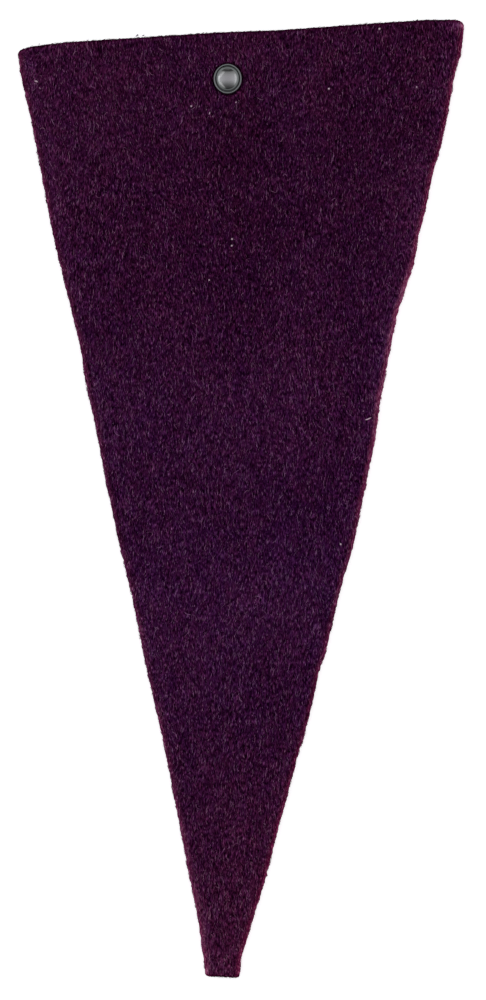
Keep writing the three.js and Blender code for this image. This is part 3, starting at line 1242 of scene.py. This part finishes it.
def stud_cap(material):
    """A low dome on a sloping brim, inside a groove and a rolled rim."""
    dome_radius = 4.1
    dome_foot = CAP_BASE + 0.65
    rise = 1.1
    dome_rings = 15
    rim_tube = 0.42
    sphere = (dome_radius**2 + rise**2) / (2.0 * rise)
    dome = []
    for step in range(1, dome_rings):
        radius = dome_radius * (1.0 - step / dome_rings)
        dome.append((radius, dome_foot + rise - sphere + math.sqrt(sphere**2 - radius**2)))
    rings = [
        (HOLE_RADIUS, CAP_BASE + 0.9),
        (HOLE_RADIUS, CAP_BASE),
        (5.7, CAP_BASE),
        *arc(CAP_RADIUS - rim_tube, CAP_BASE + rim_tube, rim_tube, -75.0, 150.0, 14),
        (5.22, CAP_BASE + rim_tube),
        (5.14, CAP_BASE + 0.36),
        (5.04, CAP_BASE + 0.37),
        (4.94, CAP_BASE + 0.44),
        (4.6, CAP_BASE + 0.52),
        (4.28, CAP_BASE + 0.58),
        (4.16, CAP_BASE + 0.62),
        (4.06, CAP_BASE + 0.69),
        *dome,
    ]
    return turned_piece("cap", rings, 96, material, OVAL)


def stud_back(material):
    """The flange behind the felt, with a rolled edge and a hollow shank."""
    edge = 0.25
    rings = [
        (0.9, FLANGE_BASE + 1.4),
        (0.95, FLANGE_BASE + 0.4),
        (1.15, FLANGE_BASE + 0.12),
        (1.45, FLANGE_BASE + 0.02),
        (1.8, FLANGE_BASE),
        (FLANGE_RADIUS - 0.9, FLANGE_BASE + 0.03),
        *arc(FLANGE_RADIUS - edge, FLANGE_BASE + edge, edge, -90.0, 90.0, 10),
        (SHANK_RADIUS + 0.3, FLANGE_BASE + 0.5),
        (SHANK_RADIUS + 0.08, FLANGE_BASE + 0.56),
        (SHANK_RADIUS, FLANGE_BASE + 0.75),
        (SHANK_RADIUS, CAP_BASE + 0.5),
        (SHANK_RADIUS - 0.1, CAP_BASE + 0.6),
        (0.5, CAP_BASE + 0.6),
    ]
    return turned_piece("post", rings, 72, material, (1.0, 1.0, 1.0))


# The softboxes, as name, angle around the stud, angle above it, width, length and
# brightness, with lengths in metres
SOFTBOXES = [
    ("left_softbox", 180.0, 32.0, 0.15, 0.85, 1.02),
    ("lower_left_softbox", 221.0, 41.0, 0.3, 0.85, 0.5),
    ("upper_left_softbox", 138.0, 40.0, 0.22, 0.75, 0.38),
    ("right_softbox", 0.0, 40.0, 0.12, 1.3, 0.4),
]
SOFTBOX_DISTANCE = 1.11


def softbox(name, around, above, width, length, strength):
    """A lit panel, at an angle around the stud and an angle above it, facing it."""
    aim = Vector((0.0, 0.18, 0.0))
    around = math.radians(around)
    above = math.radians(above)
    out = math.cos(above)
    way = Vector((out * math.cos(around), out * math.sin(around), math.sin(above)))
    place = aim + SOFTBOX_DISTANCE * way
    data = bpy.data.lights.new(name, "AREA")
    data.shape = "RECTANGLE"
    data.size = length
    data.size_y = width
    data.energy = strength * width * length * math.pi
    light = bpy.data.objects.new(name, data)
    light.location = place
    light.rotation_euler = (aim - place).to_track_quat("-Z", "Y").to_euler()
    bpy.context.scene.collection.objects.link(light)


# The room's grey, from the tip's side of it to the wide end's
SURROUND = [
    (0.0, (170, 170, 170)),
    (0.045, (150, 150, 150)),
    (0.075, (56, 56, 57)),
    (0.13, (68, 68, 69)),
    (0.21, (104, 104, 105)),
    (0.3, (144, 144, 146)),
    (0.4, (183, 183, 186)),
    (0.5, (210, 209, 214)),
    (0.66, (208, 207, 212)),
    (0.75, (196, 196, 199)),
    (0.79, (183, 183, 185)),
    (0.86, (162, 162, 163)),
    (0.886, (68, 68, 68)),
    (0.925, (62, 62, 62)),
    (0.946, (150, 150, 150)),
]


def studio():
    """A pale floor, the softboxes and a grey surround that the camera sees as white."""
    scene = bpy.context.scene
    scene.view_settings.view_transform = "Standard"

    bpy.ops.object.select_all(action="DESELECT")
    bpy.ops.mesh.primitive_plane_add(size=8.0, location=(0.0, 0.0, -0.0003))
    floor = bpy.context.active_object
    floor.name = "floor"
    bpy.ops.object.transform_apply(location=True, rotation=True, scale=True)
    values = {
        "Base Color": (0.8, 0.8, 0.8, 1.0),
        "Roughness": 0.9,
        "Specular IOR Level": 0.1,
        "Emission Color": (1.0, 1.0, 1.0, 1.0),
        "Emission Strength": 0.7,
    }
    material, _, _ = new_material("pale_floor", values)
    floor.data.materials.append(material)

    for row in SOFTBOXES:
        softbox(*row)

    world = bpy.data.worlds.new("studio")
    scene.world = world
    world.use_nodes = True
    tree = world.node_tree
    tree.nodes.clear()
    seen = add(tree, "ShaderNodeLightPath").outputs["Is Camera Ray"]
    facing = add(tree, "ShaderNodeTexCoord").outputs["Generated"]
    parts = add(tree, "ShaderNodeSeparateXYZ", {"Vector": facing})
    lengthways = map_range(tree, parts.outputs["Y"], -1.0, 1.0)
    glow = ramp(tree, lengthways, SURROUND)
    squared = combine(tree, "MULTIPLY", parts.outputs["X"], parts.outputs["X"])
    strength = map_range(tree, squared, 0.0, 1.0, 1.0, 1.5)
    grey = add(tree, "ShaderNodeBackground", {"Color": glow, "Strength": strength})
    white = add(tree, "ShaderNodeBackground", {"Color": (1.0, 1.0, 1.0, 1.0)})
    mix = add(tree, "ShaderNodeMixShader", {0: seen, 1: grey.outputs[0], 2: white.outputs[0]})
    output = add(tree, "ShaderNodeOutputWorld")
    tree.links.new(mix.outputs[0], output.inputs["Surface"])


# The photo's frame: its middle, its height and the camera's distance, in metres
FRAME_MIDDLE = (0.84 * MM, -0.61 * MM)
FRAME_HEIGHT = 0.42
CAMERA_DISTANCE = 1.2


def photo_camera():
    """Straight above the panel, with the wide end at the top of the frame."""
    data = bpy.data.cameras.new("camera")
    data.sensor_width = 36.0
    data.lens = data.sensor_width * CAMERA_DISTANCE / FRAME_HEIGHT
    data.clip_start = 0.05
    data.clip_end = 20.0
    camera = bpy.data.objects.new("camera", data)
    camera.location = (*FRAME_MIDDLE, CAMERA_DISTANCE + FELT_THICKNESS * MM)
    bpy.context.scene.collection.objects.link(camera)
    bpy.context.scene.camera = camera


photo_camera()
studio()

WOOL_COLOUR = wool_colour_group()
FELT_GRAIN = felt_grain_group()
felt = felt_material()
nap = nap_material()
lint = lint_material()
metal = stud_material()

sheet = felt_sheet(felt)
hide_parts("felt_panel")
soft_pieces = [
    face_nap("low_nap", 0.318, 0.28, 0.074, nap, 101),
    face_nap("middle_nap", 0.338, 0.28, 0.071, nap, 151),
    face_nap("high_nap", 0.366, 0.29, 0.068, nap, 201),
    back_nap(14000, nap, 301),
    loose_hairs(2200, nap, 401),
    cut_edge_fuzz(12000, nap, 501),
    end_cut_fuzz(2600, nap, 551),
    lint_piece(lint, 601),
]

cap = stud_cap(metal)
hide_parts("stud_cap")
post = stud_back(metal)
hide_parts("stud_post")
